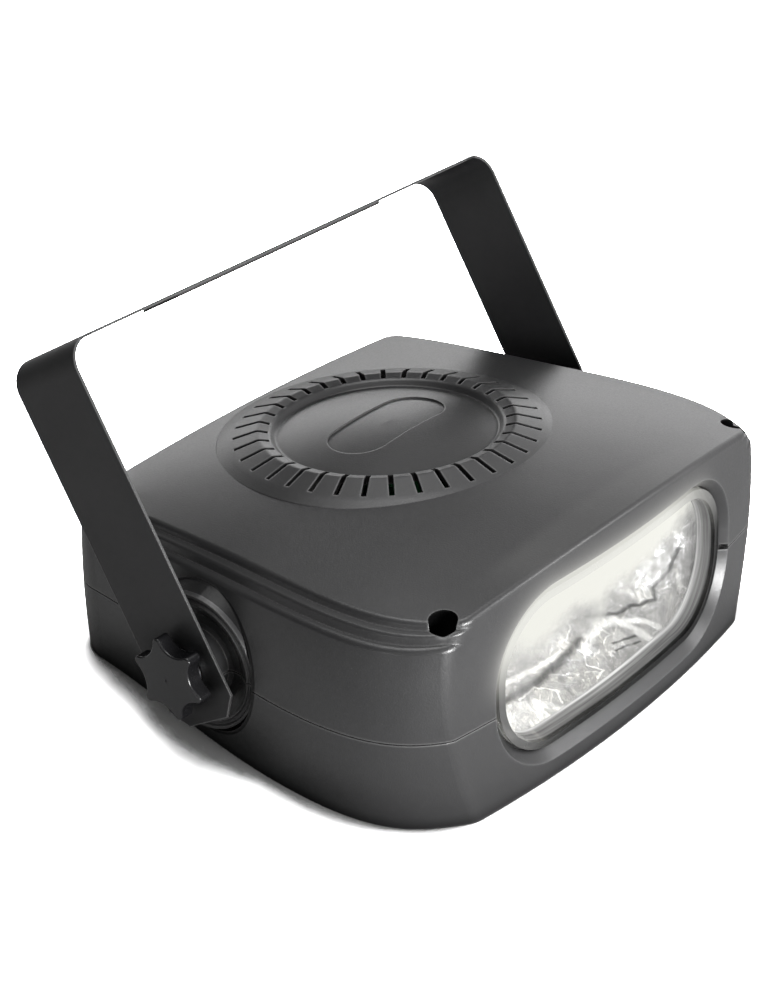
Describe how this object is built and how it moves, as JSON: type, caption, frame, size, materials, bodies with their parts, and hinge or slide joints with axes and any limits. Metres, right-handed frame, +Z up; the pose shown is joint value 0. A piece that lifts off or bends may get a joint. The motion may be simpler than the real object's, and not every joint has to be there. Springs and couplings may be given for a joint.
{
  "type": "xenon stroboscope",
  "caption": "Compact xenon strobe light with a moulded two-part housing, clear front window, vent ring on the crowned top, and a tilting U-shaped bracket held by star knobs.",
  "frame": {"origin": "on the flat underside, below the middle of the vent ring", "axes": "+X to the right of someone facing the window, along the pivot axis; +Y towards the back; +Z up"},
  "size_m": [0.2672, 0.2077, 0.1471],
  "materials": {
    "housing_plastic": "fine moulded texture, satin",
    "lens_clear": "clear polished plastic",
    "black_rubber": "matt",
    "reflector_bright": "bright crumpled",
    "tube_glass": "clear quartz",
    "electrode_metal": "bright drawn",
    "holder_plastic": "matt",
    "lead_sleeve": "satin sleeve",
    "bracket_paint": "satin black powder coat",
    "knob_plastic": "semi-gloss moulded",
    "zinc_steel": "bright zinc",
    "black_steel": "black oxide",
    "brass_plain": "turned",
    "board_laminate": "solder-resist, satin",
    "capacitor_can": "sleeved can",
    "transformer_iron": "varnished laminations",
    "resistor_ceramic": "matt ceramic",
    "diode_epoxy": "moulded epoxy",
    "terminal_plastic": "matt",
    "fitting_plastic": "matt nylon",
    "fuse_glass": "clear tube with bright caps"
  },
  "bodies": {
    "housing": {"upper_shell": "housing_plastic", "lower_shell": "housing_plastic", "front_lens": "lens_clear", "rate_potentiometer": "fitting_plastic", "fuse_holder": "fitting_plastic", "cable_gland": "fitting_plastic", "lens_seal": "black_rubber", "reflector": "reflector_bright", "reflector_bracket": "zinc_steel", "reflector_rivets": "zinc_steel", "xenon_tube": "tube_glass", "tube_electrodes": "electrode_metal", "tube_holders": "holder_plastic", "trigger_wire": "electrode_metal", "tube_leads": "lead_sleeve", "circuit_board": "board_laminate", "board_screws": "zinc_steel", "case_screws_front": "black_steel", "case_screws_rear": "zinc_steel", "flash_capacitors": "capacitor_can", "trigger_transformer": "transformer_iron", "power_resistor": "resistor_ceramic", "rectifier_diodes": "diode_epoxy", "terminal_block": "terminal_plastic", "fuse_nut": "fitting_plastic", "cartridge_fuse": "fuse_glass", "gland_nut": "fitting_plastic", "left_friction_pad": "black_rubber", "right_friction_pad": "black_rubber", "left_pivot_insert": "brass_plain", "right_pivot_insert": "brass_plain"},
    "bracket": {"bracket_bar": "bracket_paint", "left_bracket_arm": "bracket_paint", "right_bracket_arm": "bracket_paint"},
    "left_washer": {"left_washer": "zinc_steel"},
    "left_knob": {"left_knob": "knob_plastic", "left_stud": "zinc_steel"},
    "right_washer": {"right_washer": "zinc_steel"},
    "right_knob": {"right_knob": "knob_plastic", "right_stud": "zinc_steel"},
    "rate_knob": {"rate_knob": "knob_plastic"},
    "fuse_cap": {"fuse_cap": "knob_plastic"}
  },
  "joints": [
    {"name": "bracket_tilt", "type": "hinge", "parent": "housing", "child": "bracket", "pos_m": [0, -0.0041, 0.03513], "axis": [1, 0, 0], "range_deg": [-65, 100]},
    {"name": "left_knob_travel", "type": "slide", "parent": "housing", "child": "left_washer", "axis": [-1, 0, 0], "range_m": [0, 0.0016]},
    {"name": "left_knob_turn", "type": "hinge", "parent": "left_washer", "child": "left_knob", "pos_m": [-0.124, -0.0041, 0.03513], "axis": [-1, 0, 0], "range_deg": [0, 540]},
    {"name": "right_knob_travel", "type": "slide", "parent": "housing", "child": "right_washer", "axis": [1, 0, 0], "range_m": [0, 0.0016]},
    {"name": "right_knob_turn", "type": "hinge", "parent": "right_washer", "child": "right_knob", "pos_m": [0.124, -0.0041, 0.03513], "axis": [1, 0, 0], "range_deg": [0, 540]},
    {"name": "rate_knob_turn", "type": "hinge", "parent": "housing", "child": "rate_knob", "pos_m": [-0.045, 0.078, 0.02], "axis": [0, 1, 0], "range_deg": [-150, 150]},
    {"name": "fuse_cap_turn", "type": "hinge", "parent": "housing", "child": "fuse_cap", "pos_m": [0.038, 0.08, 0.02], "axis": [0, 1, 0], "range_deg": [0, 60]}
  ],
  "couplings": [
    {"joint": "left_knob_travel", "follows": "left_knob_turn", "m_per_rad": 0.00015915},
    {"joint": "right_knob_travel", "follows": "right_knob_turn", "m_per_rad": 0.00015915}
  ]
}
